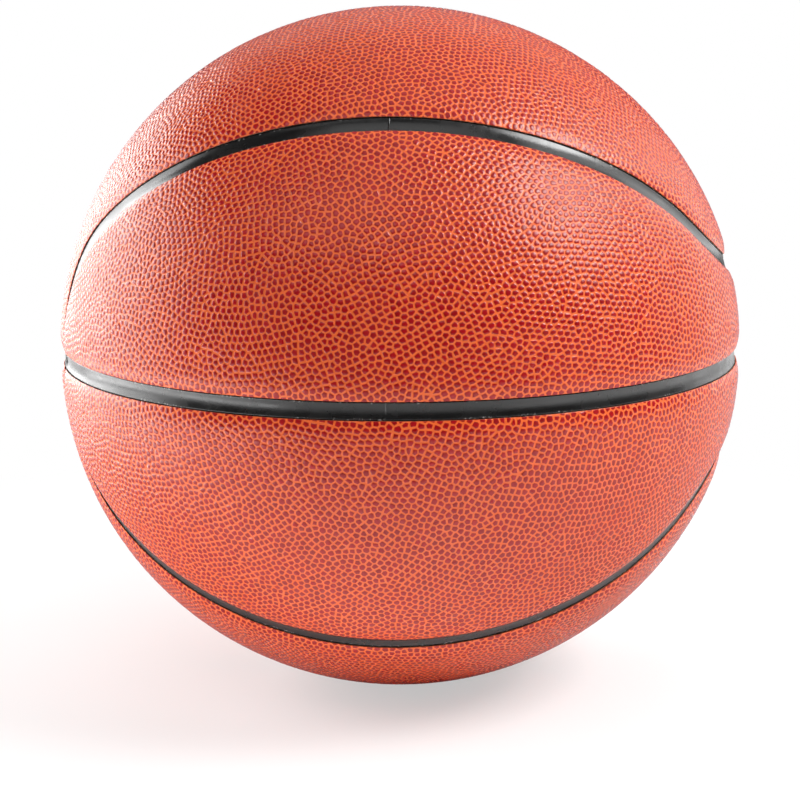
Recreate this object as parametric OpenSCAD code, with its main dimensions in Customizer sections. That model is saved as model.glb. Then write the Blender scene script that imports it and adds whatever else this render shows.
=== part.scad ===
// Size 7 basketball. Eight pebbled cover panels, each on a foam backing, are glued into the beds
// of a moulded rubber carcass, whose raised ribs fill the channels between them. Inside the carcass
// lie a thread winding and an air bladder, and a needle valve passes through every layer.
//
// The origin is the ball's centre. +Z is up and -Y is the front. One channel lies level, in the
// XY plane, and one stands upright, in the XZ plane. They cross at the side poles, on the X axis.
// The third channel is one closed wave. It runs half-way between the other two across the front
// and the back, crosses the level one at right angles near the -X pole, and the upright one near
// the +X pole. So all eight panels are alike: turns and mirrors of one panel.

/* [Ball] */
// Diameter over the crest of the cover panels
ball_d = 241; // [200:1:250]
// Angle at the centre from each side pole to where the wave crosses a channel near it, in degrees
vertex_angle = 14.8; // [12:0.1:18]

/* [Channels] */
// Width of the raised rubber rib that fills each channel
rib_w = 5.6; // [4:0.1:8]
// Depth of the rib tops below the crest of the panels
channel_depth = 1.8; // [1.5:0.1:2.2]
// Gap between a rib and the edge of the panel beside it
edge_gap = 0.2; // [0.1:0.05:0.5]

/* [Cover panels] */
// Thickness of the pebbled cover, which is skived thinner at its edges
cover_t = 1.6; // [1.4:0.1:1.9]
// Thickness of the foam backing under each panel
backing_t = 1; // [0.8:0.1:1.6]
// Width of the shoulder where a panel rolls down to its edge
shoulder_w = 6; // [4:0.5:10]
// How far the shoulder falls at the panel's edge
shoulder_drop = 1.1; // [0.6:0.1:1.2]

/* [Inner layers] */
// Thickness of the rubber carcass under the panels
carcass_t = 1; // [0.8:0.1:1.6]
// Thickness of the thread winding
winding_t = 0.5; // [0.3:0.1:1]
// Thickness of the bladder's wall
bladder_t = 0.7; // [0.5:0.1:1.2]
// Glue line between two layers
glue_gap = 0.1; // [0.05:0.05:0.2]

/* [Valve] */
// Diameter of the valve housing's neck, which shows in the panel
valve_neck_d = 8; // [7.6:0.1:10]
// Depth of the valve's face below the panel
valve_recess = 0.5; // [0.2:0.1:1]
// Diameter of the flange bonded inside the bladder
valve_flange_d = 26; // [18:1:40]
// Thickness of that flange
valve_flange_t = 1.5; // [1:0.1:2.5]
// Height of the whole valve housing
valve_h = 18; // [16:0.5:24]
// Diameter of the plug's stem
plug_stem_d = 4.6; // [4:0.1:5]
// Diameter of the bulb that holds the plug in its housing
plug_bulb_d = 6.2; // [5.6:0.1:6.6]
// Height of the bulb
plug_bulb_h = 3; // [2:0.1:4]
// Running gap between the plug and its housing
plug_gap = 0.1; // [0.05:0.05:0.15]
// Diameter of the bore that guides an inflating needle
needle_bore_d = 2.2; // [1.8:0.1:2.6]
// Depth of that bore, down to the lips that close it
needle_bore_l = 12; // [9:0.5:13]

/* [Hidden] */
$fn = 180;

// Radii of the layers, from the crest inwards
ball_r = ball_d / 2;
cover_in_r = ball_r - cover_t;
backing_out_r = cover_in_r - glue_gap;
bed_r = backing_out_r - backing_t;
carcass_out_r = bed_r - glue_gap;
rib_r = ball_r - channel_depth;
carcass_in_r = carcass_out_r - carcass_t;
winding_out_r = carcass_in_r - glue_gap;
winding_in_r = winding_out_r - winding_t;
bladder_out_r = winding_in_r - glue_gap;
bladder_in_r = bladder_out_r - bladder_t;

// Distances from a channel's middle line to the rib's side and to the panel's edge
rib_edge = rib_w / 2;
panel_edge = rib_edge + edge_gap;

// The wave is a great-circle arc across the front, tipped half-way between the level and the
// upright channel, with a smaller arc at each end. Both are tangent where they meet. The end
// arc's axis lies in the plane of the channel that it crosses.
wave_tilt = 45;
end_axis_angle = atan2(sin(vertex_angle), cos(vertex_angle) - sin(wave_tilt));
end_arc_angle = end_axis_angle - vertex_angle;
tangent_angle = atan(tan(end_axis_angle) * cos(wave_tilt));
// The end arcs are wider by this angle, so that they cross the front arc and don't only touch it
crossing_angle = 0.04;
end_cone_angle = end_arc_angle + crossing_angle;

// The valve goes half-way between the level channel and the wave, in the middle of a back panel
valve_elevation = wave_tilt / 2;
valve_top = ball_r - valve_recess;
valve_bottom = valve_top - valve_h;
valve_hole_d = valve_neck_d + 2 * glue_gap;
bulb_mid = (bladder_in_r + valve_bottom) / 2;

// Bevels that stand for the shoulder's curve. The wave's shoulders fall a little further than the
// others, so that at a panel's corner their edges pass each other and don't meet in one point.
shoulder_steps = 2;
wave_drop_share = 1.04;
wave_drop = shoulder_drop * wave_drop_share;

// Overrun of cuts, and a length past everything
overrun_share = 1 / 60;
overrun = ball_d * overrun_share;
far = ball_d;

COVER = "#c4321a";
FOAM = "#d8d2c0";
RUBBER = "#1c1c1e";
THREAD = "#e4e0d4";
BUTYL = "#303236";

// A point of a channel's cross-section as [distance from the arc's axis, height along it].
// t runs across the panel from the channel's middle line, and u runs out from the ball's centre.
// polar is the angle from the axis to the middle line, and side is 1 for a panel away from the axis.
function about_axis(t, u, polar, side) =
    [u * sin(polar) + side * t * cos(polar), u * cos(polar) - side * t * sin(polar)];

// The shoulder is a parabola, and its bevels join the points numbered 0, at the edge, and up.
// It falls by drop at the edge.
function shoulder_point(i, drop, polar, side) =
    let (t = panel_edge + shoulder_w * i / shoulder_steps)
    let (fall = drop * pow(1 - i / shoulder_steps, 2))
    about_axis(t, sqrt(ball_r * ball_r - t * t) - fall, polar, side);

module shell(out_r, in_r) {
    difference() {
        sphere(out_r);
        sphere(in_r);
    }
}

// Everything under bevel i of the shoulder beside a great circle in the XY plane, on its +Z side.
// The seam of the round surface is turned away from the panel.
module flat_bevel(i, drop) {
    a = shoulder_point(i, drop, 90, -1);
    b = shoulder_point(i + 1, drop, 90, -1);
    slope = (b[0] - a[0]) / (b[1] - a[1]);
    rotate([0, 0, 90])
        cylinder(h = far, r1 = a[0] - slope * a[1], r2 = a[0] + slope * (far - a[1]));
}

// The same beside an end arc round the Z axis
module end_bevel(i, side) {
    a = shoulder_point(i, wave_drop, end_cone_angle, side);
    b = shoulder_point(i + 1, wave_drop, end_cone_angle, side);
    slope = (b[1] - a[1]) / (b[0] - a[0]);
    apex = a[1] - slope * a[0];
    rotate([0, 0, -90 * side])
        cylinder(h = apex, r1 = -apex / slope, r2 = 0);
}

// Everything inside an end arc round the Z axis, with its side moved inwards by setback
module end_cone(setback, side) {
    translate([0, 0, setback / sin(end_cone_angle)])
        rotate([0, 0, -90 * side])
            cylinder(h = far, r1 = 0, r2 = far * tan(end_cone_angle));
}

// Puts +Z on the axis of an end arc, in the frame whose XY plane holds the wave's front arc
module left_axis() {
    rotate([0, 90 + end_arc_angle, 180 + tangent_angle])
        children();
}

module right_axis() {
    rotate([0, 90 - end_arc_angle, -tangent_angle])
        children();
}

module wedge(from, to) {
    rotate([0, 0, from])
        rotate_extrude(angle = to - from)
            polygon([[0, -far], [far, -far], [far, far], [0, far]]);
}

// Everything below the wave's front half, at least setback from its middle line. The wave's front
// arc lies in the XY plane here. Only a domed panel has the bevels.
module below_wave(setback, domed) {
    difference() {
        intersection() {
            translate([-far, -far, -far - setback])
                cube([2 * far, 2 * far, far]);
            if (domed)
                for_bevels()
                    rotate([180, 0, 0])
                        flat_bevel($bevel, wave_drop);
        }
        difference() {
            wedge(180, 180 + tangent_angle);
            left_axis()
                intersection() {
                    end_cone(setback, -1);
                    if (domed)
                        for_bevels()
                            end_bevel($bevel, -1);
                }
        }
    }
    intersection() {
        difference() {
            wedge(360 - tangent_angle, 360);
            right_axis()
                end_cone(-setback, 1);
        }
        if (domed)
            right_axis()
                for_bevels()
                    end_bevel($bevel, 1);
    }
}

module for_bevels() {
    intersection_for($bevel = [0 : shoulder_steps - 1])
        children();
}

// The front upper panel's outline, as a cone from the ball's centre with its point cut away
module outline(setback, domed = false) {
    intersection() {
        translate([-far, -far - setback, setback])
            cube([2 * far, far, far]);
        rotate([-wave_tilt, 0, 0])
            below_wave(setback, domed);
        if (domed)
            for_bevels()
                flat_bevel($bevel, shoulder_drop);
        if (domed)
            for_bevels()
                rotate([90, 0, 0])
                    rotate([0, 0, 180])
                        flat_bevel($bevel, shoulder_drop);
    }
}

module cover() {
    intersection() {
        shell(ball_r, cover_in_r);
        outline(panel_edge, domed = true);
    }
}

module backing() {
    intersection() {
        shell(backing_out_r, bed_r);
        outline(panel_edge);
    }
}

// The bed that the carcass has for a panel, out to past its rib tops
module bed() {
    intersection() {
        shell(rib_r + overrun, carcass_out_r);
        outline(rib_edge);
    }
}

// Places of the eight panels, from the front upper one: crown and base panels are turned over
// about the middle of the wave's front arc, and lower and back ones are mirrored
module turned(crown) {
    rotate(a = crown ? 180 : 0, v = [0, -1, 1])
        children();
}

module lower(yes) {
    mirror([0, 0, yes ? 1 : 0])
        children();
}

module back(yes) {
    mirror([0, yes ? 1 : 0, 0])
        children();
}

module at_valve() {
    rotate([valve_elevation - 90, 0, 0])
        children();
}

module valve_hole() {
    at_valve()
        cylinder(h = far, d = valve_hole_d);
}

module front_crown_panel() {
    color(COVER)
        turned(true)
            cover();
}

module front_upper_panel() {
    color(COVER)
        cover();
}

module front_lower_panel() {
    color(COVER)
        lower(true)
            cover();
}

module front_base_panel() {
    color(COVER)
        lower(true)
            turned(true)
                cover();
}

module back_crown_panel() {
    color(COVER)
        back(true)
            turned(true)
                cover();
}

module back_upper_panel() {
    color(COVER)
        difference() {
            back(true)
                cover();
            valve_hole();
        }
}

module back_lower_panel() {
    color(COVER)
        back(true)
            lower(true)
                cover();
}

module back_base_panel() {
    color(COVER)
        back(true)
            lower(true)
                turned(true)
                    cover();
}

module front_crown_backing() {
    color(FOAM)
        turned(true)
            backing();
}

module front_upper_backing() {
    color(FOAM)
        backing();
}

module front_lower_backing() {
    color(FOAM)
        lower(true)
            backing();
}

module front_base_backing() {
    color(FOAM)
        lower(true)
            turned(true)
                backing();
}

module back_crown_backing() {
    color(FOAM)
        back(true)
            turned(true)
                backing();
}

module back_upper_backing() {
    color(FOAM)
        difference() {
            back(true)
                backing();
            valve_hole();
        }
}

module back_lower_backing() {
    color(FOAM)
        back(true)
            lower(true)
                backing();
}

module back_base_backing() {
    color(FOAM)
        back(true)
            lower(true)
                turned(true)
                    backing();
}

module carcass() {
    color(RUBBER)
        difference() {
            shell(rib_r, carcass_in_r);
            for (is_back = [false, true], is_lower = [false, true], is_turned = [false, true])
                back(is_back)
                    lower(is_lower)
                        turned(is_turned)
                            bed();
            valve_hole();
        }
}

module winding() {
    color(THREAD)
        difference() {
            shell(winding_out_r, winding_in_r);
            valve_hole();
        }
}

module bladder() {
    color(BUTYL)
        difference() {
            shell(bladder_out_r, bladder_in_r);
            valve_hole();
        }
}

// Neck through every layer, flange bonded inside the bladder, and a socket for the plug
module valve_housing() {
    flange_r = bladder_in_r - glue_gap;
    color(RUBBER)
        at_valve()
            difference() {
                union() {
                    translate([0, 0, valve_bottom])
                        cylinder(h = valve_h, d = valve_neck_d);
                    intersection() {
                        shell(flange_r, flange_r - valve_flange_t);
                        cylinder(h = far, d = valve_flange_d);
                    }
                }
                cylinder(h = far, d = plug_stem_d + 2 * plug_gap);
                translate([0, 0, bulb_mid - plug_bulb_h / 2 - plug_gap])
                    cylinder(h = plug_bulb_h + 2 * plug_gap, d = plug_bulb_d + 2 * plug_gap);
            }
}

// Soft plug with a bulb that locks it in, bored for the needle down to its closed lips
module valve_plug() {
    color(BUTYL)
        at_valve()
            difference() {
                union() {
                    translate([0, 0, valve_bottom])
                        cylinder(h = valve_h, d = plug_stem_d);
                    translate([0, 0, bulb_mid - plug_bulb_h / 2])
                        cylinder(h = plug_bulb_h, d = plug_bulb_d);
                }
                translate([0, 0, valve_top - needle_bore_l])
                    cylinder(h = far, d = needle_bore_d);
            }
}

front_crown_panel();
front_upper_panel();
front_lower_panel();
front_base_panel();
back_crown_panel();
back_upper_panel();
back_lower_panel();
back_base_panel();
front_crown_backing();
front_upper_backing();
front_lower_backing();
front_base_backing();
back_crown_backing();
back_upper_backing();
back_lower_backing();
back_base_backing();
carcass();
winding();
bladder();
valve_housing();
valve_plug();
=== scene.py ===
"""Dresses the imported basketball: pebbled panels, hollowed rubber ribs, and a soft studio."""
import math

import bpy
import numpy as np
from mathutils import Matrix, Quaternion, Vector
from mathutils.geometry import delaunay_2d_cdt


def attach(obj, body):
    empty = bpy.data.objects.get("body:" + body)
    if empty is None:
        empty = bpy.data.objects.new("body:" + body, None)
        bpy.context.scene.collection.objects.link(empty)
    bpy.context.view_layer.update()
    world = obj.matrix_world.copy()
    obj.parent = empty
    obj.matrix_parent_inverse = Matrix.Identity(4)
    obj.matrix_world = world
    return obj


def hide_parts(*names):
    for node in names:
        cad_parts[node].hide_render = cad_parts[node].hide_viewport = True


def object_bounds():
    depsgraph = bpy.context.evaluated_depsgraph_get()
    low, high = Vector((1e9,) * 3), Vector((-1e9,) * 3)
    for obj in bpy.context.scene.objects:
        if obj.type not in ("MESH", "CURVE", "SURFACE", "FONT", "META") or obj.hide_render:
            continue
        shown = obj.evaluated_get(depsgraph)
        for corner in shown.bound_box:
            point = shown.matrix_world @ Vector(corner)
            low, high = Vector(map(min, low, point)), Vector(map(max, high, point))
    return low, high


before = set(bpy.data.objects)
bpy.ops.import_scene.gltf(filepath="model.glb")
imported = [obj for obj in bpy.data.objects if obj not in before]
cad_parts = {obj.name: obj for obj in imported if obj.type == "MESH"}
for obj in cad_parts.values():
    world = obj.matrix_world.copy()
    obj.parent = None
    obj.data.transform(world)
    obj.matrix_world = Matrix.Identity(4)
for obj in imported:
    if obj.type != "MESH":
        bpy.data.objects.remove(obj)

CAD_BOX = [list(corner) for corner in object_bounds()]
MM = 0.001

# Sizes of part.scad, in metres. The crest is 0.05 mm lower than there, so that the pebbles stay in
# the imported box.
CREST_R = 120.45 * MM
COVER_IN_R = 118.9 * MM
RIB_R = 118.7 * MM
BED_R = 117.7 * MM
CARCASS_IN_R = 116.7 * MM
PANEL_EDGE = 3.0 * MM
HOLE_R = 4.1 * MM
VALVE_RISE = math.radians(22.5)

# The wave: a great-circle arc tipped by 45 degrees, with a smaller arc at each end
VERTEX = math.radians(14.8)
AXIS = math.atan2(math.sin(VERTEX), math.cos(VERTEX) - math.sin(math.pi / 4))
ARC = AXIS - VERTEX
TANGENT = math.atan(math.tan(AXIS) * math.cos(math.pi / 4))
LEFT = np.array([-math.cos(AXIS), -math.sin(AXIS), 0.0])
RIGHT = np.array([math.cos(AXIS), 0.0, math.sin(AXIS)])
VALVE = np.array([0.0, math.cos(VALVE_RISE), math.sin(VALVE_RISE)])

# Pebbles: the area of one in square metres, how far its centre strays as a share of its width, how
# high it stands, and the width of the ground round it
CELL_AREA = 4.56e-6
STRAY_SHARE = 0.26
RELAX_ROUNDS = 7
RELIEF = 0.30 * MM
GROUND = 0.31 * MM
FIRST_SEED = 11
TONE_SEED = 100

# How far pebbles are strewn past the channels' middle lines, and how far past the panel's edge a
# cell still counts, to be cut there
STREWN_PAST = 4.5 * MM
KEPT_PAST = 1.0 * MM

# A pebble's form: how much its foot follows the corners of its cell, the least that it reaches, its
# upper ring as a share of the foot, the heights of both rings, and how unequal pebbles are in height
CORNER_SHARE = 0.15
LEAST_SHARE = 0.4
UPPER_SHARE = 0.78
FOOT_HEIGHT_SHARE = 0.80
UPPER_HEIGHT_SHARE = 0.985
HEIGHT_SPREAD_SHARE = 0.08

# What the material reads as ring: the sheet's own rings, then the edge's wall and the inner face
GROUND_RING, FOOT_RING, UPPER_RING, TOP_RING = 0.0, 1.0, 2.0, 3.0
WALL_RING = 0.8
INNER_RING = 0.2
PLAIN_TONE = 0.5

# The cover across a panel: a shoulder that rolls down to the edge, and a slow camber
ROLL_WIDTH = 5.6 * MM
ROLL_FALL = 0.86 * MM
CAMBER_REACH = 10 * MM
CAMBER_FALL = 0.36 * MM
BLEND_POWER = 4
HOLE_ROLL_WIDTH = 2.0 * MM
HOLE_ROLL_FALL = 0.35 * MM

# Pebbles flatten near an edge, down to this share of their height
FLAT_WIDTH = 5.0 * MM
FLAT_SHARE = 0.45

# The sheet's own edge lies this far inside the panel's edge. Below it come rows of points, each with
# its shift outwards, its drop (None for the inner face) and its rim distance, all in millimetres.
EDGE_SET_BACK = 0.12 * MM
WALL_ROWS = ((0.09, 0.04, 0.1), (0.12, 0.16, 0.07), (0.12, None, 0.0))

# The inner face: points on the whole ball, how far those that are used stay from the edges, and the
# slack for triangles that lie on an edge
INNER_POINTS = 2600
INNER_MARGIN = 2.0 * MM
INNER_SLACK = 0.01 * MM

# A distance past all of the ball, and how close two points on the chart have to be to count as one
FAR = 1.0
SAME_POINT = 1e-10


def unit(a):
    return a / np.linalg.norm(a, axis=-1, keepdims=True)


def angle_to(p, axis):
    return np.arccos(np.clip(p @ axis, -1, 1))


def spiral(count):
    """Evenly spread directions, on a golden spiral."""
    k = np.arange(count)
    z = 1 - (2 * k + 1) / count
    turn = k * math.pi * (3 - math.sqrt(5))
    return np.stack([np.sqrt(1 - z * z) * np.cos(turn), np.sqrt(1 - z * z) * np.sin(turn), z], 1)


def below_wave(p):
    """Angle from the wave's middle line, positive on the side of the level channel.

    p is folded into the front upper quarter."""
    x, y, z = p[:, 0], -np.abs(p[:, 1]), np.abs(p[:, 2])
    folded = np.stack([x, y, z], 1)
    azimuth = np.arctan2(y - z, x * math.sqrt(2)) % (2 * math.pi)
    middle = -np.arcsin(np.clip((y + z) / math.sqrt(2), -1, 1))
    at_left = ARC - angle_to(folded, LEFT)
    at_right = angle_to(folded, RIGHT) - ARC
    out = np.where(azimuth < math.pi + TANGENT, at_left, middle)
    return np.where(azimuth > 2 * math.pi - TANGENT, at_right, out)


def seams(p):
    """Distances along the ball from the middle lines of the three channels.

    All are positive inside the front upper panel."""
    level = np.arcsin(np.clip(p[:, 2], -1, 1))
    upright = np.arcsin(np.clip(-p[:, 1], -1, 1))
    return np.stack([level, upright, below_wave(p)], 1) * CREST_R


def past_hole(direction, hole):
    """Distance along the ball from the valve's hole. A panel without one has it far away."""
    if hole is None:
        return np.full(len(direction), FAR)
    away = np.linalg.norm(np.cross(direction, hole), axis=1) * CREST_R - HOLE_R
    return np.where(direction @ hole > 0, away, FAR)


def camber(distances):
    """How far the cover lies under the crest."""
    d = np.maximum(distances - PANEL_EDGE, 0)
    roll = np.clip(1 - d / ROLL_WIDTH, 0, 1) ** 2 * ROLL_FALL
    slow = CAMBER_FALL * np.exp(-d / CAMBER_REACH)
    return (((roll + slow) ** BLEND_POWER).sum(1)) ** (1 / BLEND_POWER)


# A flat chart for triangulating, centred in the panel: stereographic, so that circles stay circles
CHART = unit(np.array([0.08, -math.cos(math.pi / 8), math.sin(math.pi / 8)]))
CHART_X = unit(np.cross([0.0, 0.0, 1.0], CHART))
CHART_Y = np.cross(CHART, CHART_X)


def triangulate(p, edges=()):
    """Delaunay triangles of directions p, which keep to edges."""
    scale = 1 + p @ CHART
    flat = np.stack([p @ CHART_X / scale, p @ CHART_Y / scale], 1)
    found = delaunay_2d_cdt([Vector(q) for q in flat], list(edges), [], 0, SAME_POINT)
    back = np.array([o[0] if o else -1 for o in found[3]])
    tris = back[np.array(found[2])]
    return tris[(tris >= 0).all(1)]


def cells_of(p):
    """The spherical Voronoi cells of points p, each cut into wedges from its middle to its corners.

    Gives the corners' directions, then for each wedge its cell, its corner, the next corner and the
    next wedge, and last which cells are closed."""
    tris = triangulate(p)
    a, b, c = p[tris[:, 0]], p[tris[:, 1]], p[tris[:, 2]]
    corners = unit(np.cross(b - a, c - a))
    cell = tris.ravel()
    corner = np.repeat(np.arange(len(tris)), 3)
    askew = [0.3, 0.5, 0.81]
    across = unit(np.cross(askew, p))
    along = np.cross(p, across)
    turn = np.arctan2((corners[corner] * along[cell]).sum(1), (corners[corner] * across[cell]).sum(1))
    order = np.lexsort((turn, cell))
    cell, corner = cell[order], corner[order]
    start = np.r_[True, cell[1:] != cell[:-1]]
    first = np.maximum.accumulate(np.where(start, np.arange(len(cell)), 0))
    last = np.r_[start[1:], True]
    following = np.where(last, first, np.minimum(np.arange(len(cell)) + 1, len(cell) - 1))
    sides = np.sort(np.concatenate([tris[:, [0, 1]], tris[:, [1, 2]], tris[:, [2, 0]]]), 1)
    pairs, times = np.unique(sides, axis=0, return_counts=True)
    closed = np.ones(len(p), bool)
    closed[pairs[times == 1].ravel()] = False
    return corners, cell, corner, corner[following], following, closed


def relax(p, rounds):
    """Moves each point towards the middle of its cell."""
    for _ in range(rounds):
        corners, cell, corner, following, _, closed = cells_of(p)
        a, b, c = p[cell], corners[corner], corners[following]
        area = np.linalg.norm(np.cross(b - a, c - a), axis=1)
        middle = np.stack([np.bincount(cell, area * (a + b + c)[:, k], len(p)) for k in range(3)], 1)
        p = np.where(closed[:, None], unit(np.where(closed[:, None], middle, p)), p)
    return p


def pebble_centres(seed):
    """Evenly strewn but irregular points over the front upper panel and a little past it."""
    random = np.random.default_rng(seed)
    p = spiral(round(4 * math.pi * CREST_R**2 / CELL_AREA))
    spin = Quaternion(unit(random.normal(size=4)))
    p = p @ np.array(spin.to_matrix())
    p = p[seams(p).min(1) > -STREWN_PAST]
    p = unit(p + random.normal(size=p.shape) * STRAY_SHARE * math.sqrt(CELL_AREA) / CREST_R)
    return relax(p, RELAX_ROUNDS)


def foot_reach(far, mean, flank):
    """How far a pebble's foot reaches towards a corner of its cell, which is far away.

    mean is the corners' mean distance, and flank that of the nearer of the two sides beside it."""
    rounded = CORNER_SHARE * far + (1 - CORNER_SHARE) * mean - GROUND / CREST_R
    return np.maximum(np.minimum(rounded, flank - GROUND / 2 / CREST_R), LEAST_SHARE * far)


def rows(direction, height, ring, tone):
    """Rows of values: a point's direction, its height as a share, its ring and its tone."""
    columns = [np.broadcast_to(number, len(direction)) for number in (height, ring, tone)]
    return np.column_stack([direction, *columns])


def near_wedges(p):
    """The wedges of those cells of points p that are closed and reach the panel, counted anew.

    Gives the directions of their corners and of their cells' points, then for each wedge its cell,
    its corner, the next corner and the next wedge."""
    corners, cell, corner, following, after, closed = cells_of(p)
    near = np.zeros(len(p), bool)
    near[cell[seams(corners).min(1)[corner] > PANEL_EDGE - KEPT_PAST]] = True
    use = (closed & near)[cell]
    place = np.cumsum(use) - 1
    used_corners, v = np.unique(corner[use], return_inverse=True)
    v_next = np.searchsorted(used_corners, following[use])
    used_cells, c = np.unique(cell[use], return_inverse=True)
    return corners[used_corners], p[used_cells], c, v, v_next, place[after[use]]


def pebble_sheet(seed):
    """Pebbles in their ground as an open sheet, larger than the panel: (values, triangles)."""
    corners, centres, c, v, v_next, after = near_wedges(pebble_centres(seed))
    random = np.random.default_rng(seed + TONE_SEED)
    n_v, n_w, n_c = len(corners), len(c), len(centres)
    rim, middle = corners[v], centres[c]
    far = np.linalg.norm(rim - middle, axis=1)
    mean = np.bincount(c, far, n_c) / np.bincount(c, minlength=n_c)
    flank = np.linalg.norm((rim + corners[v_next]) / 2 - middle, axis=1)
    before = np.empty_like(flank)
    before[after] = flank
    foot = foot_reach(far, mean[c], np.minimum(flank, before))
    upper = UPPER_SHARE * foot
    toward = (rim - middle) / far[:, None]
    tone = random.random(n_c)
    tall = random.normal(1, HEIGHT_SPREAD_SHARE, n_c)
    values = np.concatenate([
        rows(corners, 0.0, GROUND_RING, PLAIN_TONE),
        rows(middle + toward * foot[:, None], FOOT_HEIGHT_SHARE * tall[c], FOOT_RING, tone[c]),
        rows(middle + toward * upper[:, None], UPPER_HEIGHT_SHARE * tall[c], UPPER_RING, tone[c]),
        rows(centres, tall, TOP_RING, tone),
    ])
    w = np.arange(n_w)
    foot_1, foot_2 = n_v + w, n_v + after
    upper_1, upper_2 = foot_1 + n_w, foot_2 + n_w
    top = n_v + 2 * n_w + c
    tris = np.concatenate([
        np.stack([v, v_next, foot_2], 1),
        np.stack([v, foot_2, foot_1], 1),
        np.stack([foot_1, foot_2, upper_2], 1),
        np.stack([foot_1, upper_2, upper_1], 1),
        np.stack([upper_1, upper_2, top], 1),
    ])
    return values, tris


def clip(values, tris, side):
    """Cuts the sheet where side, given for each point, is negative."""
    inside = side >= 0
    count = inside[tris].sum(1)
    keep = tris[count == 3]
    one, two = tris[count == 1], tris[count == 2]
    one = np.stack([np.roll(t, -int(np.argmax(inside[t]))) for t in one]) if len(one) else one
    two = np.stack([np.roll(t, -int(np.argmin(inside[t]))) for t in two]) if len(two) else two
    ends = np.concatenate([one[:, [0, 1]], one[:, [0, 2]], two[:, [0, 1]], two[:, [0, 2]]])
    pairs, which = np.unique(np.sort(ends, 1), axis=0, return_inverse=True)
    which = which.ravel() + len(values)
    share = side[pairs[:, 0]] / (side[pairs[:, 0]] - side[pairs[:, 1]])
    new = values[pairs[:, 0]] + share[:, None] * (values[pairs[:, 1]] - values[pairs[:, 0]])
    n, m = len(one), len(two)
    a1, b1, a2, b2 = which[:n], which[n : 2 * n], which[2 * n : 2 * n + m], which[2 * n + m :]
    tris = np.concatenate([
        keep,
        np.stack([one[:, 0], a1, b1], 1),
        np.stack([a2, two[:, 1], two[:, 2]], 1),
        np.stack([a2, two[:, 2], b2], 1),
    ])
    values = np.concatenate([values, new])
    used, tris = np.unique(tris, return_inverse=True)
    return values[used], tris.reshape(-1, 3)


def trimmed(values, tris, hole):
    """The sheet, cut along the panel's three edges and round the valve's hole."""
    for k in range(3):
        values, tris = clip(values, tris, seams(unit(values[:, :3]))[:, k] - (PANEL_EDGE + EDGE_SET_BACK))
    if hole is not None:
        values, tris = clip(values, tris, past_hole(unit(values[:, :3]), hole) - EDGE_SET_BACK)
    return values, tris


def laid(values, hole):
    """The sheet laid on the cover's form: (directions, radii, distances from the nearest edge)."""
    direction = unit(values[:, :3])
    distances = seams(direction)
    away = past_hole(direction, hole)
    fall = camber(distances) + HOLE_ROLL_FALL * np.clip(1 - away / HOLE_ROLL_WIDTH, 0, 1) ** 2
    rim = np.minimum(distances.min(1) - PANEL_EDGE, away)
    inward = np.clip(rim / FLAT_WIDTH, 0, 1)
    depth = RELIEF * (FLAT_SHARE + (1 - FLAT_SHARE) * inward * inward * (3 - 2 * inward))
    return direction, np.minimum(CREST_R - fall - (1 - values[:, 3]) * depth, CREST_R), rim


def loops_of(tris):
    """The mesh's open edges as closed loops of points, with the mesh on their left."""
    sides = np.concatenate([tris[:, [0, 1]], tris[:, [1, 2]], tris[:, [2, 0]]])
    there = {(a, b) for a, b in sides.tolist()}
    after = {a: b for a, b in there if (b, a) not in there}
    loops = []
    while after:
        at = min(after)
        loop = []
        while at in after:
            loop.append(at)
            at = after.pop(at)
        loops.append(np.array(loop))
    return loops


class Skin:
    """A panel's points, attributes and triangles, while it grows."""

    def __init__(self):
        self.points, self.faces = [], []
        self.marks = {"ring": [], "tone": [], "rim": []}
        self.total = 0

    def add(self, points, ring, tone, rim):
        """Adds points, with the material's attributes, and gives their numbers. rim is in metres."""
        self.points.append(points)
        for name, value in (("ring", ring), ("tone", tone), ("rim", rim / MM)):
            self.marks[name].append(np.broadcast_to(value, len(points)))
        self.total += len(points)
        return np.arange(self.total - len(points), self.total)

    def stitch(self, above, below):
        """A closed band of triangles between two rows of as many points."""
        above_next, below_next = np.roll(above, -1), np.roll(below, -1)
        self.faces.append(np.stack([above, below, below_next], 1))
        self.faces.append(np.stack([above, below_next, above_next], 1))

    def finished(self):
        marks = {name: np.concatenate(parts) for name, parts in self.marks.items()}
        return np.concatenate(self.points), np.concatenate(self.faces), marks


def add_wall(skin, loop, direction, radius):
    """Rows of points from an open loop of the sheet down to the inner face: the last row's numbers."""
    out = unit(np.cross(np.roll(direction, -1, 0) - np.roll(direction, 1, 0), direction))
    above = loop
    for shift, drop, reach in WALL_ROWS:
        row = unit(direction + out * shift * MM / CREST_R)
        r = np.full(len(row), COVER_IN_R) if drop is None else radius - drop * MM
        below = skin.add(row * r[:, None], WALL_RING, PLAIN_TONE, reach * MM)
        skin.stitch(above, below)
        above = below
    return below


def add_inner_face(skin, walls, hole):
    """The face that lies on the foam, between the walls' last rows."""
    edges = []
    count = 0
    for wall in walls:
        n = len(wall)
        edges += [(count + k, count + (k + 1) % n) for k in range(n)]
        count += n
    walls = np.concatenate(walls)
    fill = spiral(INNER_POINTS)
    room = seams(fill).min(1) > PANEL_EDGE + INNER_MARGIN
    if hole is not None:
        room &= fill @ hole < math.cos((HOLE_R + INNER_MARGIN) / CREST_R)
    fill = fill[room]
    both = np.concatenate([unit(np.concatenate(skin.points)[walls]), fill])
    under = triangulate(both, edges)
    middle = unit(both[under].mean(1))
    inside = seams(middle).min(1) > PANEL_EDGE - INNER_SLACK
    if hole is not None:
        inside &= middle @ hole < math.cos(HOLE_R / CREST_R)
    numbers = np.concatenate([walls, skin.add(fill * COVER_IN_R, INNER_RING, PLAIN_TONE, 0.0)])
    skin.faces.append(numbers[under[inside]][:, ::-1])


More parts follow.
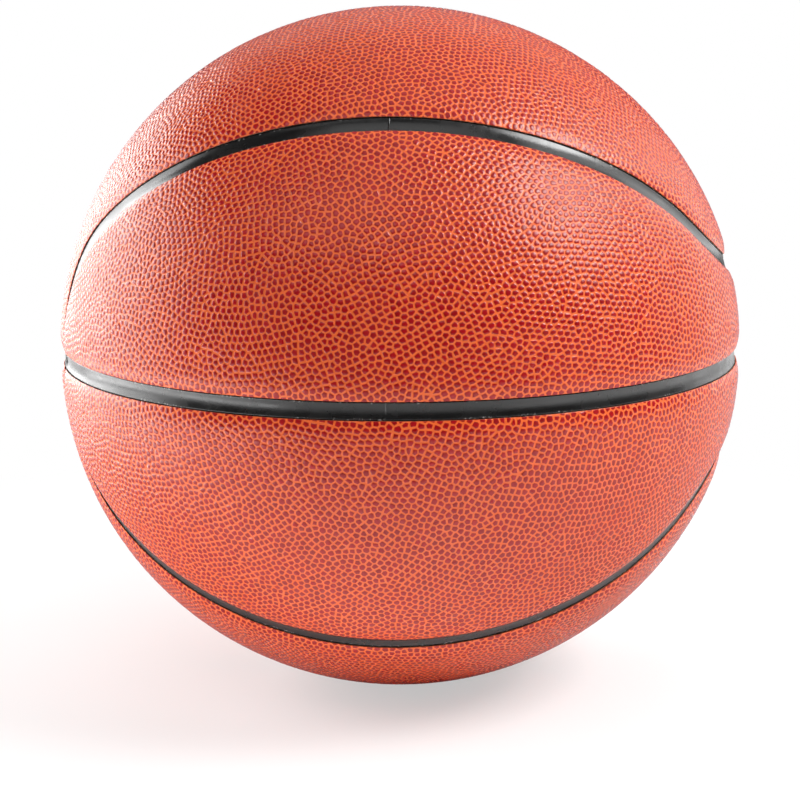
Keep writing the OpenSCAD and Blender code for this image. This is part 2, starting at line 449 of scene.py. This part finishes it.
def panel(seed, hole=None):
    """One closed panel in the front upper place: (points, triangles, attributes).

    hole is the valve's direction, turned to that place."""
    values, tris = trimmed(*pebble_sheet(seed), hole)
    direction, radius, rim = laid(values, hole)
    skin = Skin()
    skin.add(direction * radius[:, None], values[:, 4], values[:, 5], rim)
    skin.faces.append(tris)
    walls = [add_wall(skin, loop, direction[loop], radius[loop]) for loop in loops_of(tris)]
    add_inner_face(skin, walls, hole)
    return skin.finished()


def make_mesh(name, points, tris, attributes=None):
    """A smooth-shaded object. attributes holds a number for each point, by name."""
    mesh = bpy.data.meshes.new(name)
    mesh.vertices.add(len(points))
    mesh.vertices.foreach_set("co", np.asarray(points, np.float32).ravel())
    mesh.loops.add(3 * len(tris))
    mesh.loops.foreach_set("vertex_index", np.asarray(tris, np.int32).ravel())
    mesh.polygons.add(len(tris))
    mesh.polygons.foreach_set("loop_start", np.arange(0, 3 * len(tris), 3, dtype=np.int32))
    mesh.update(calc_edges=True)
    mesh.validate()
    mesh.shade_smooth()
    for key, numbers in (attributes or {}).items():
        layer = mesh.attributes.new(key, "FLOAT", "POINT")
        layer.data.foreach_set("value", numbers.astype(np.float32))
    piece = bpy.data.objects.new(name, mesh)
    bpy.context.scene.collection.objects.link(piece)
    return piece


def add_piece(name, points, tris, attributes, material, slot, *nodes):
    """A piece that rides on the ball's one body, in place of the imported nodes."""
    piece = make_mesh(name, points, tris, attributes)
    piece.data.materials.append(material)
    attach(piece, "root")
    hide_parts(*nodes)


# Materials. Colours are linear, in pairs from the darker to the lighter. A noise's scale is how many
# of its features lie in a metre.

PEBBLE_RED = (0.245, 0.0015, 0.004, 1), (0.32, 0.003, 0.007, 1)
GROUND_ORANGE = (0.68, 0.105, 0.020, 1), (0.76, 0.132, 0.028, 1)
PAINTED_EDGE_SHADE = (0.012, 0.010, 0.010, 1)
RIB_BLACK = (0.004, 0.0038, 0.0038, 1), (0.008, 0.0075, 0.0075, 1)
NICK_GREY = (0.26, 0.25, 0.24, 1)
HOUSING_BLACK = (0.012, 0.012, 0.013, 1), (0.02, 0.02, 0.021, 1)
BUTYL_GREY = (0.028, 0.03, 0.034, 1), (0.045, 0.048, 0.052, 1)
FOAM_CREAM = (0.42, 0.38, 0.30, 1), (0.72, 0.67, 0.56, 1)
FOAM_AGED = (0.66, 0.60, 0.48, 1)
FOAM_SIDE = (0.012, 0.011, 0.011, 1)
THREAD_CREAM = (0.38, 0.34, 0.27, 1), (0.82, 0.78, 0.68, 1)
THREAD_AGED = (0.70, 0.64, 0.52, 1)
FLOOR_LIT = (0.80, 0.80, 0.80, 1)
FLOOR_SEEN = (0.86, 0.86, 0.86, 1)
WHITE = (1, 1, 1, 1)

COVER_IOR = 1.43
RUBBER_IOR = 1.52

# Between these rings the ground turns into pebble. The panel's edge is rough at its rim and painted
# black there as painted shade, the channel's shade, and neither at this rim distance in millimetres.
GROUND_ENDS, PEBBLE_BEGINS = 0.68, 0.98
BLACK_REACH = 0.07

# Roughness of the ground and of the pebbles, and what the rim adds
GROUND_ROUGH, PEBBLE_ROUGH, RIM_ROUGHER = 0.32, 0.27, 0.4

# Foam: cells in a metre, and the cosines between which a face turns from side to outer face
FOAM_CELLS = 1400.0
SIDE_FACING, OUTER_FACING = 0.3, 0.7

# The floor's white for the camera: its share near the middle, where the shadow lies, and the
# distances in metres at which it begins to grow and is whole
LEAST_WHITE = 0.5
WHITE_GROWS, WHITE_WHOLE = 0.06, 0.36

# Thread: its scale, and how each of its three layers is turned, in radians
THREAD_SCALE = 420.0
THREAD_TURNS = (0.9, 0.3, 0.2), (-0.3, 0.9, 0.4), (0.3, -0.5, 0.8)


class Nodes:
    """A material's node tree, built in few words."""

    def __init__(self, name):
        self.material = bpy.data.materials.new(name)
        self.material.use_nodes = True
        self.tree = self.material.node_tree
        self.shader = self.tree.nodes["Principled BSDF"]
        self.output = self.tree.nodes["Material Output"]

    def add(self, kind, inputs=None, **settings):
        node = self.tree.nodes.new(kind)
        for key, value in settings.items():
            setattr(node, key, value)
        for key, value in (inputs or {}).items():
            self.put(node.inputs[key], value)
        return node

    def put(self, socket, value):
        if isinstance(value, bpy.types.NodeSocket):
            self.tree.links.new(value, socket)
        else:
            socket.default_value = value

    def attribute(self, name):
        return self.add("ShaderNodeAttribute", attribute_name=name).outputs["Fac"]

    def place(self):
        return self.add("ShaderNodeTexCoord").outputs["Object"]

    def noise(self, scale, detail=3.0, roughness=0.5):
        inputs = {"Vector": self.place(), "Scale": scale, "Detail": detail, "Roughness": roughness}
        return self.add("ShaderNodeTexNoise", inputs).outputs["Fac"]

    def map(self, value, low, high, to_low=0.0, to_high=1.0, smooth=True):
        inputs = {"Value": value, "From Min": low, "From Max": high, "To Min": to_low, "To Max": to_high}
        kind = "SMOOTHSTEP" if smooth else "LINEAR"
        return self.add("ShaderNodeMapRange", inputs, interpolation_type=kind).outputs["Result"]

    def math(self, operation, a, b):
        return self.add("ShaderNodeMath", {0: a, 1: b}, operation=operation).outputs[0]

    def mix(self, share, a, b):
        node = self.add("ShaderNodeMix", data_type="RGBA")
        for socket, value in zip((node.inputs[0], node.inputs[6], node.inputs[7]), (share, a, b)):
            self.put(socket, value)
        return node.outputs[2]

    def bump(self, height, distance, strength):
        inputs = {"Height": height, "Distance": distance, "Strength": strength}
        return self.add("ShaderNodeBump", inputs).outputs["Normal"]

    def finish(self, **inputs):
        for key, value in inputs.items():
            self.put(self.shader.inputs[key.replace("_", " ")], value)
        return self.material


def cover_material():
    """Red pebble tops in an orange ground, with painted shade: black at the panel's edge, in the channel.
    """
    n = Nodes("cover_composite")
    ring, tone, rim = n.attribute("ring"), n.attribute("tone"), n.attribute("rim")
    top = n.map(ring, GROUND_ENDS, PEBBLE_BEGINS)
    ground = n.mix(n.noise(14, detail=3, roughness=0.6), *GROUND_ORANGE)
    colour = n.mix(top, ground, n.mix(tone, *PEBBLE_RED))
    # Painted shade: the panel's edge turns black towards its rim, where the channel's shade falls.
    colour = n.mix(n.map(rim, 0.0, BLACK_REACH), PAINTED_EDGE_SHADE, colour)
    patches = n.noise(60, detail=3, roughness=0.5)
    rough = n.map(top, 0, 1, GROUND_ROUGH, PEBBLE_ROUGH, smooth=False)
    rough = n.math("ADD", rough, n.map(patches, 0.3, 0.7, -0.03, 0.04))
    rough = n.math("ADD", rough, n.map(rim, 0.0, BLACK_REACH, RIM_ROUGHER, 0.0))
    grain = n.bump(n.noise(2600, detail=2, roughness=0.6), distance=0.04 * MM, strength=0.5)
    return n.finish(Base_Color=colour, Roughness=rough, Normal=grain, IOR=COVER_IOR)


def rubber_material(name, darker, lighter, rough):
    """Clouded satin rubber, with pale nicks where the edge attribute is 1."""
    n = Nodes(name)
    clouds = n.noise(30, detail=4, roughness=0.6)
    colour = n.mix(n.map(clouds, 0.3, 0.7), darker, lighter)
    nicks = n.map(n.noise(1300, detail=2, roughness=0.5), 0.57, 0.64)
    worn = n.map(n.noise(70, detail=2, roughness=0.5), 0.46, 0.56)
    nicks = n.math("MULTIPLY", n.math("MULTIPLY", nicks, worn), n.attribute("edge"))
    colour = n.mix(nicks, colour, NICK_GREY)
    patches = n.noise(90, detail=4, roughness=0.6)
    roughness = n.map(patches, 0.3, 0.7, rough - 0.05, rough + 0.07)
    grain = n.bump(n.noise(1500, detail=3, roughness=0.6), distance=0.05 * MM, strength=0.4)
    return n.finish(Base_Color=colour, Roughness=roughness, Normal=grain, IOR=RUBBER_IOR)


def foam_material():
    """Cellular foam, with dark side faces, as its cut edge lies in the channel's shade."""
    n = Nodes("backing_foam")
    inputs = {"Vector": n.place(), "Scale": FOAM_CELLS}
    cells = n.add("ShaderNodeTexVoronoi", inputs).outputs["Distance"]
    colour = n.mix(n.map(cells, 0.1, 0.7), *FOAM_CREAM)
    colour = n.mix(n.noise(25, detail=3), colour, FOAM_AGED)
    facing = n.add("ShaderNodeNewGeometry").outputs["Normal"]
    outward = n.add("ShaderNodeVectorMath", {0: n.place()}, operation="NORMALIZE").outputs[0]
    pair = {0: facing, 1: outward}
    along = n.add("ShaderNodeVectorMath", pair, operation="DOT_PRODUCT").outputs["Value"]
    face = n.map(n.math("ABSOLUTE", along, 0.0), SIDE_FACING, OUTER_FACING)
    colour = n.mix(face, FOAM_SIDE, colour)
    pits = n.bump(cells, distance=0.3 * MM, strength=0.7)
    return n.finish(Base_Color=colour, Roughness=0.9, Normal=pits)


def thread_material():
    """Thread wound in three directions, one over the other."""
    n = Nodes("thread_winding")
    total = None
    for direction, turn in zip("XYZ", THREAD_TURNS):
        turned = n.add("ShaderNodeMapping", {"Vector": n.place(), "Rotation": turn}).outputs[0]
        inputs = {"Vector": turned, "Scale": THREAD_SCALE, "Distortion": 1.2, "Detail": 1.0}
        wave = n.add("ShaderNodeTexWave", inputs, bands_direction=direction).outputs["Fac"]
        total = wave if total is None else n.math("MAXIMUM", total, wave)
    shade = n.mix(n.map(total, 0.4, 1.0), *THREAD_CREAM)
    shade = n.mix(n.map(n.noise(40, detail=2), 0.4, 0.8), shade, THREAD_AGED)
    strands = n.bump(total, distance=0.2 * MM, strength=0.8)
    return n.finish(Base_Color=shade, Roughness=0.75, Normal=strands)


def floor_material():
    """A pale floor that keeps the shadow, and fades to white for the camera away from it."""
    n = Nodes("floor")
    seen = n.add("ShaderNodeLightPath").outputs["Is Camera Ray"]
    n.finish(Base_Color=n.mix(seen, FLOOR_LIT, FLOOR_SEEN), Roughness=0.9, Specular_IOR_Level=0.0)
    apart = n.add("ShaderNodeVectorMath", {0: n.place()}, operation="LENGTH").outputs["Value"]
    white = n.add("ShaderNodeEmission", {"Color": WHITE, "Strength": 1.0})
    share = n.map(apart, WHITE_GROWS, WHITE_WHOLE, LEAST_WHITE, 1.0)
    share = n.math("MULTIPLY", share, seen)
    both = n.add("ShaderNodeMixShader", {0: share, 1: n.shader.outputs[0], 2: white.outputs[0]})
    n.put(n.output.inputs["Surface"], both.outputs[0])
    return n.material


# Cover panels. All are turns and mirrors of the front upper one.


def half_turn():
    """Half a turn about the direction midway between -Y and +Z."""
    axis = unit(np.array([0.0, -1.0, 1.0]))
    return 2 * np.outer(axis, axis) - np.eye(3)


def place_of(side, row):
    """The matrix that takes the front upper place to this one."""
    place = half_turn() if row in ("crown", "base") else np.eye(3)
    if row in ("lower", "base"):
        place = np.diag([1.0, 1.0, -1.0]) @ place
    if side == "back":
        place = np.diag([1.0, -1.0, 1.0]) @ place
    return place


COVER = cover_material()
PLACES = [(side, row) for side in ("front", "back") for row in ("crown", "upper", "lower", "base")]
for number, (side, row) in enumerate(PLACES):
    name, place = f"{side}_{row}", place_of(side, row)
    hole = np.linalg.inv(place) @ VALVE if name == "back_upper" else None
    points, tris, attributes = panel(FIRST_SEED + number, hole)
    if np.linalg.det(place) < 0:
        tris = tris[:, ::-1]
    add_piece(f"cover_{name}", points @ place.T, tris, attributes, COVER, "cover", f"{name}_panel")


# Carcass: its bed, and hollowed ribs with the mould's parting line

# Half of the rib's cross-section, in millimetres: distance from the middle line, and drop below the
# raised edges. The first point is the foot of its side. Then the middle's drop, and the distance past
# which a point is on a raised edge.
RIB_FOOT = 1.1
RIB_SIDE = (2.8, RIB_FOOT), (2.8, 0.09), (2.68, 0.0), (2.45, 0.02)
RIB_HALF = *RIB_SIDE, (2.1, 0.09), (1.5, 0.22), (0.8, 0.32)
RIB_HOLLOW = 0.36
RIB_EDGE = 2.2

# The parting line's height, and how far from its middle it has fallen to about a third of that
FLASH_HEIGHT = 0.16 * MM
FLASH_WIDTH = 0.14 * MM

# Steps along a rib, in degrees: the usual one, and the finer one, with the number of those that lie
# on each side of a parting line
RIB_STEP = 0.4
FINE_STEP = 0.06
FINE_STEPS = 8

# The bed: its rows from the valve's hole to the pinhole at the far pole, which a panel hides, the
# points of a row, and the pinhole's radius as an angle
BED_ROWS = 80
BED_AROUND = 200
PINHOLE = 0.02


def steps(end, fine_at=()):
    """Angles from 0 to end, and closer near each angle of fine_at."""
    angles = list(np.linspace(0, end, max(2, int(abs(end) / math.radians(RIB_STEP)))))
    for a in fine_at:
        angles += [a + math.radians(k * FINE_STEP) for k in range(-FINE_STEPS, FINE_STEPS + 1)]
    return np.array(sorted(angles, reverse=end < 0))


def arc_points(axis, radius, start, turn, fine_at=()):
    """Points of a circle of angular radius round axis, from direction start, turned about it."""
    angles = steps(turn, fine_at)
    rim = unit(start - (start @ axis) * axis)
    side = np.cross(axis, rim)
    across = np.cos(angles)[:, None] * rim + np.sin(angles)[:, None] * side
    return math.cos(radius) * axis + math.sin(radius) * across


def swing(axis, a, b):
    """The angle about axis from direction a to direction b."""
    a, b = unit(a - (a @ axis) * axis), unit(b - (b @ axis) * axis)
    return math.atan2(np.cross(a, b) @ axis, a @ b)


def wave_quarter():
    """The wave's middle line in the front upper quarter, from the level channel to the upright one."""
    first = np.array([-math.cos(VERTEX), -math.sin(VERTEX), 0.0])
    low, high = -math.sin(TANGENT) / math.sqrt(2), math.sin(TANGENT) / math.sqrt(2)
    left_bend = np.array([-math.cos(TANGENT), low, high])
    right_bend = np.array([math.cos(TANGENT), low, high])
    last = np.array([math.cos(VERTEX), 0.0, math.sin(VERTEX)])
    tilt = unit(np.array([0.0, 1.0, 1.0]))
    middle = swing(tilt, left_bend, right_bend)
    return np.concatenate([
        arc_points(LEFT, ARC, first, swing(LEFT, first, left_bend))[:-1],
        arc_points(tilt, math.pi / 2, left_bend, middle, (middle / 2,))[:-1],
        arc_points(RIGHT, ARC, right_bend, swing(RIGHT, right_bend, last)),
    ])


def wave_path():
    """The whole wave's middle line, from mirror images of its quarter."""
    quarter = wave_quarter()
    back = quarter[::-1] * [1, -1, 1]
    upper = np.concatenate([quarter[:-1], back[:-1]])
    lower = np.concatenate([quarter[:-1] * [1, -1, -1], quarter[::-1][:-1] * [1, 1, -1]])
    return np.concatenate([upper, lower])


def ring_path(normal):
    """A channel round the whole ball, from +X."""
    quarter = math.pi / 2
    start = np.array([1.0, 0.0, 0.0])
    return arc_points(np.array(normal, float), quarter, start, 2 * math.pi, (quarter, 3 * quarter))[:-1]


def grid(n, m):
    """Triangles between n rows of m points, with the last row and point joined to the first."""
    i, j = np.meshgrid(np.arange(n), np.arange(m), indexing="ij")
    a, b = i * m + j, (i + 1) % n * m + j
    c, d = (i + 1) % n * m + (j + 1) % m, i * m + (j + 1) % m
    halves = np.stack([a, b, c], -1), np.stack([a, c, d], -1)
    return np.concatenate([half.reshape(-1, 3) for half in halves])


def rib(path):
    """A closed rib along path: (points, triangles, which points are on its raised edges)."""
    profile = [*RIB_HALF, (0.0, RIB_HOLLOW), *((-t, drop) for t, drop in RIB_HALF[::-1])]
    along = np.roll(path, -1, 0) - np.roll(path, 1, 0)
    side = unit(np.cross(path, along))
    flash = FLASH_HEIGHT * np.exp(-((path[:, 0] * RIB_R / FLASH_WIDTH) ** 2))
    lines, edges = [], []
    for t, drop in profile:
        direction = unit(path + side * math.tan(t * MM / RIB_R))
        radius = RIB_R - drop * MM + np.where(drop < RIB_FOOT, flash, 0)
        lines.append(direction * radius[:, None])
        edges.append(np.full(len(path), float(abs(t) > RIB_EDGE)))
    tris = grid(len(path), len(profile))[:, ::-1]
    return np.stack(lines, 1).reshape(-1, 3), tris, np.stack(edges, 1).reshape(-1)


def bed():
    """The shell under the panels, with the valve's hole: rows round the valve's axis, out and back."""
    polar = np.linspace(math.asin(HOLE_R / BED_R), math.pi - PINHOLE, BED_ROWS)
    turns = [(a, BED_R) for a in polar] + [(a, CARCASS_IN_R) for a in polar[::-1]]
    around = np.linspace(0, 2 * math.pi, BED_AROUND, endpoint=False)[:, None]
    x = np.array([1.0, 0.0, 0.0])
    across = np.cos(around) * x + np.sin(around) * np.cross(VALVE, x)
    points = np.concatenate([r * (math.cos(a) * VALVE + math.sin(a) * across) for a, r in turns])
    return points, grid(len(turns), BED_AROUND), np.zeros(len(points))


def joined(parts):
    """Several meshes, each (points, triangles, edge), as one."""
    points, tris, edges = zip(*parts)
    first = np.cumsum([0, *map(len, points)])
    tris = np.concatenate([t + start for t, start in zip(tris, first)])
    return np.concatenate(points), tris, {"edge": np.concatenate(edges)}


RIBS = [rib(ring_path((0, 0, 1))), rib(ring_path((0, 1, 0))), rib(wave_path())]
RUBBER = rubber_material("carcass_rubber", *RIB_BLACK, 0.25)
add_piece("carcass_moulding", *joined([*RIBS, bed()]), RUBBER, "black_rubber", "carcass")


# The solids that stay as packed

FOAM, THREAD = foam_material(), thread_material()
HOUSING = rubber_material("valve_rubber", *HOUSING_BLACK, 0.42)
BUTYL = rubber_material("butyl_rubber", *BUTYL_GREY, 0.6)
for name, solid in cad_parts.items():
    if name.endswith("_panel") or name == "carcass":
        continue
    material = FOAM if name.endswith("_backing") else BUTYL
    material = {"winding": THREAD, "valve_housing": HOUSING}.get(name, material)
    solid.data.materials.clear()
    solid.data.materials.append(material)


# Stage: a floor under the ball, and a world that is white for the camera alone

FLOOR_HALF = 8.0
AMBIENT = 0.03

floor = make_mesh(
    "floor",
    np.array([(-1, -1, 0), (1, -1, 0), (1, 1, 0), (-1, 1, 0)]) * FLOOR_HALF,
    np.array([(0, 1, 2), (0, 2, 3)]),
)
floor.location = (0, 0, CAD_BOX[0][2])
floor.data.materials.append(floor_material())


def white_world():
    """Full white for the camera's own rays, and a faint even light for all others."""
    world = bpy.data.worlds.new("studio")
    bpy.context.scene.world = world
    world.use_nodes = True
    tree = world.node_tree
    ambient = tree.nodes["Background"]
    bright = tree.nodes.new("ShaderNodeBackground")
    for node, strength in ((ambient, AMBIENT), (bright, 1.0)):
        node.inputs["Color"].default_value = WHITE
        node.inputs["Strength"].default_value = strength
    rays = tree.nodes.new("ShaderNodeLightPath")
    blend = tree.nodes.new("ShaderNodeMixShader")
    tree.links.new(rays.outputs["Is Camera Ray"], blend.inputs[0])
    tree.links.new(ambient.outputs[0], blend.inputs[1])
    tree.links.new(bright.outputs[0], blend.inputs[2])
    tree.links.new(blend.outputs[0], tree.nodes["World Output"].inputs[0])


white_world()

# Soft lamps: direction and distance from the ball's centre, width, height, and what the face gives.
# The last is a sheet of light just above the floor, in front of the ball, which faces up.
LAMPS = {
    "left_edge": ((-0.99, 0.04, 0.14), 0.9, 0.5, 0.9, 4.6),
    "left_back": ((-0.80, 0.60, 0.08), 1.1, 0.9, 1.0, 6.7),
    "upper_right": ((0.70, -0.26, 0.68), 1.2, 0.5, 0.5, 17.0),
    "right_wide": ((0.74, 0.10, 0.62), 1.2, 1.0, 0.9, 1.9),
    "right_back": ((0.80, 0.60, 0.15), 1.2, 0.9, 1.0, 2.0),
    "top": ((0.0, 0.0, 1.0), 1.3, 0.9, 0.9, 1.0),
    "top_back": ((0.0, 0.8, 0.7), 1.3, 1.2, 0.9, 1.0),
    "top_front": ((-0.22, -0.68, 0.75), 1.2, 1.0, 0.5, 2.3),
    "low_left": ((-0.33, -0.10, -0.095), 0.36, 0.6, 0.05, 6.0),
    "low_right": ((0.33, -0.10, -0.095), 0.36, 0.6, 0.05, 0.9),
    "light_table": ((0.0, -0.180, -0.1195), 0.2161, 0.6, 0.19, 0.55, (0, 0, 1)),
}


def softbox(name, toward, distance, width, height, radiance, facing=None):
    """An area lamp in direction toward. It faces the ball, or in direction facing."""
    lamp = bpy.data.lights.new(name, "AREA")
    lamp.shape = "RECTANGLE"
    lamp.size, lamp.size_y = width, height
    lamp.energy = radiance * math.pi * width * height
    there = bpy.data.objects.new(name, lamp)
    direction = Vector(toward).normalized()
    there.location = direction * distance
    there.rotation_euler = Vector(facing or -direction).to_track_quat("-Z", "Y").to_euler()
    there.visible_camera = False
    bpy.context.scene.collection.objects.link(there)


for name, lamp in LAMPS.items():
    softbox(name, *lamp)


# Camera, where the photo's stood: azimuth, elevation and roll are in degrees, distances in metres

AZIMUTH = 2.10
ELEVATION = 9.82
ROLL = -0.30
DISTANCE = 0.7206
SENSOR_WIDTH_MM = 36
FOCAL_LENGTH_MM = 90.3
SHIFT_SHARE = -0.0696
NEAREST = 0.01


def add_camera():
    """Looks at the ball's centre. The lens is shifted, so that the ball lies above the middle."""
    azimuth, elevation = math.radians(AZIMUTH), math.radians(ELEVATION)
    camera = bpy.data.objects.new("camera", bpy.data.cameras.new("camera"))
    away = Vector((
        math.sin(azimuth) * math.cos(elevation),
        -math.cos(azimuth) * math.cos(elevation),
        math.sin(elevation),
    ))
    camera.location = away * DISTANCE
    camera.rotation_mode = "QUATERNION"
    roll = Quaternion((0, 0, 1), math.radians(ROLL))
    camera.rotation_quaternion = (-away).to_track_quat("-Z", "Y") @ roll
    camera.data.sensor_width = SENSOR_WIDTH_MM
    camera.data.lens = FOCAL_LENGTH_MM
    camera.data.shift_y = SHIFT_SHARE
    camera.data.clip_start = NEAREST
    bpy.context.scene.collection.objects.link(camera)
    bpy.context.scene.camera = camera


add_camera()
bpy.context.scene.view_settings.view_transform = "Standard"

bpy.context.view_layer.update()
